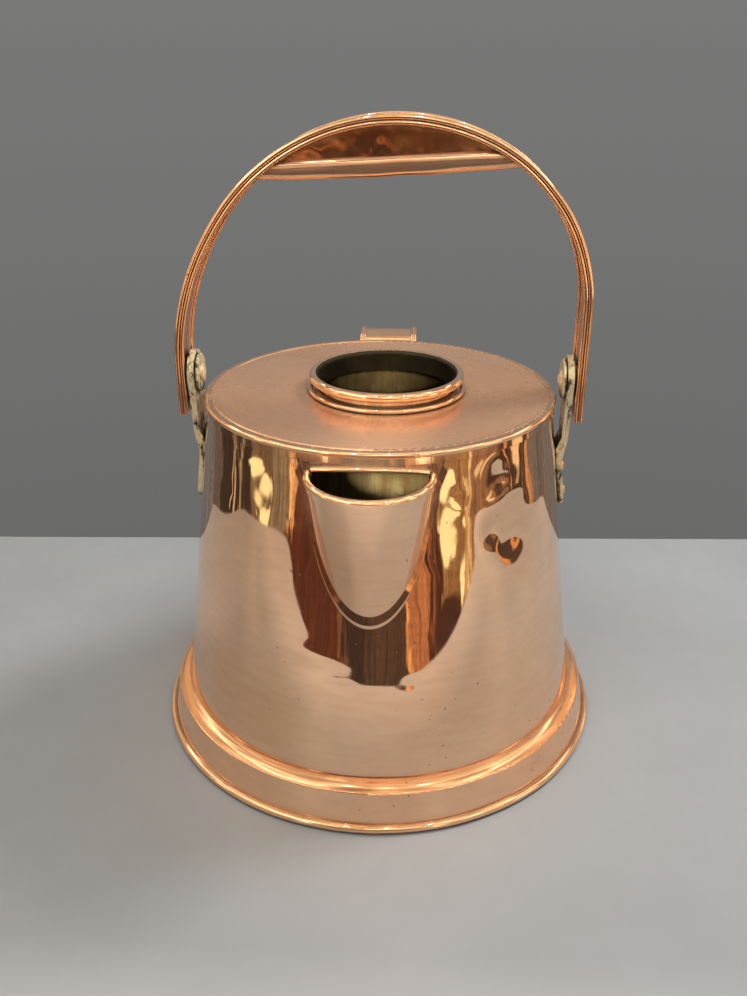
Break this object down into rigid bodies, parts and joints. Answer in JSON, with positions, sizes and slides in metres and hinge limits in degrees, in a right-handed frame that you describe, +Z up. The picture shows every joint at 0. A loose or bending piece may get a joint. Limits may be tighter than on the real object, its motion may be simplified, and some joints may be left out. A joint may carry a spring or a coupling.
{
  "type": "copper kettle can",
  "caption": "Tapered copper kettle can with a flat top, open filling neck, half-round pouring lip, fixed back handle and an arched bail that swings on riveted brass lugs.",
  "frame": {"origin": "centre of the foot, on the surface that the can stands on", "axes": "+Z up, -Y towards the pouring lip, +Y towards the back handle, +X along the bail's pivot axis"},
  "size_m": [0.247, 0.2584, 0.3228],
  "materials": {
    "polished_copper": "polished copper, lightly tarnished and dented, tinned and darkened inside",
    "bail_copper": "polished copper strap with bright rolled edges",
    "grip_web_copper": "darker mottled copper",
    "lug_brass": "cast brass with pale green verdigris in the hollows",
    "rivet_copper": "hammered copper rivet",
    "iron_wire": "plain iron wire, hidden in the rolled edges"
  },
  "bodies": {
    "root": {"body_wall": "polished_copper", "bottom_plate": "polished_copper", "foot_band": "polished_copper", "foot_wire": "iron_wire", "top_plate": "polished_copper", "rim_wire": "iron_wire", "neck_collar": "polished_copper", "neck_wire": "iron_wire", "spout_shell": "polished_copper", "spout_wire": "iron_wire", "mouth_hem": "polished_copper", "lug_left": "lug_brass", "lug_right": "lug_brass", "lug_rivets_left": "rivet_copper", "lug_rivets_right": "rivet_copper", "back_handle_strap": "polished_copper", "back_handle_wires": "iron_wire", "back_handle_rivets": "rivet_copper"},
    "bail": {"bail_outer_strap": "bail_copper", "bail_inner_strap": "bail_copper", "bail_wires": "iron_wire", "grip_tube": "bail_copper", "grip_web_front": "grip_web_copper", "grip_web_back": "grip_web_copper", "pivot_rivet_left": "rivet_copper", "pivot_rivet_right": "rivet_copper", "outer_washer_left": "lug_brass", "outer_washer_right": "lug_brass", "inner_washer_left": "lug_brass", "inner_washer_right": "lug_brass"}
  },
  "joints": [
    {"name": "bail_swing", "type": "hinge", "parent": "root", "child": "bail", "pos_m": [0, 0, 0.1957], "axis": [1, 0, 0], "range_deg": [-87.2, 93.5]}
  ]
}
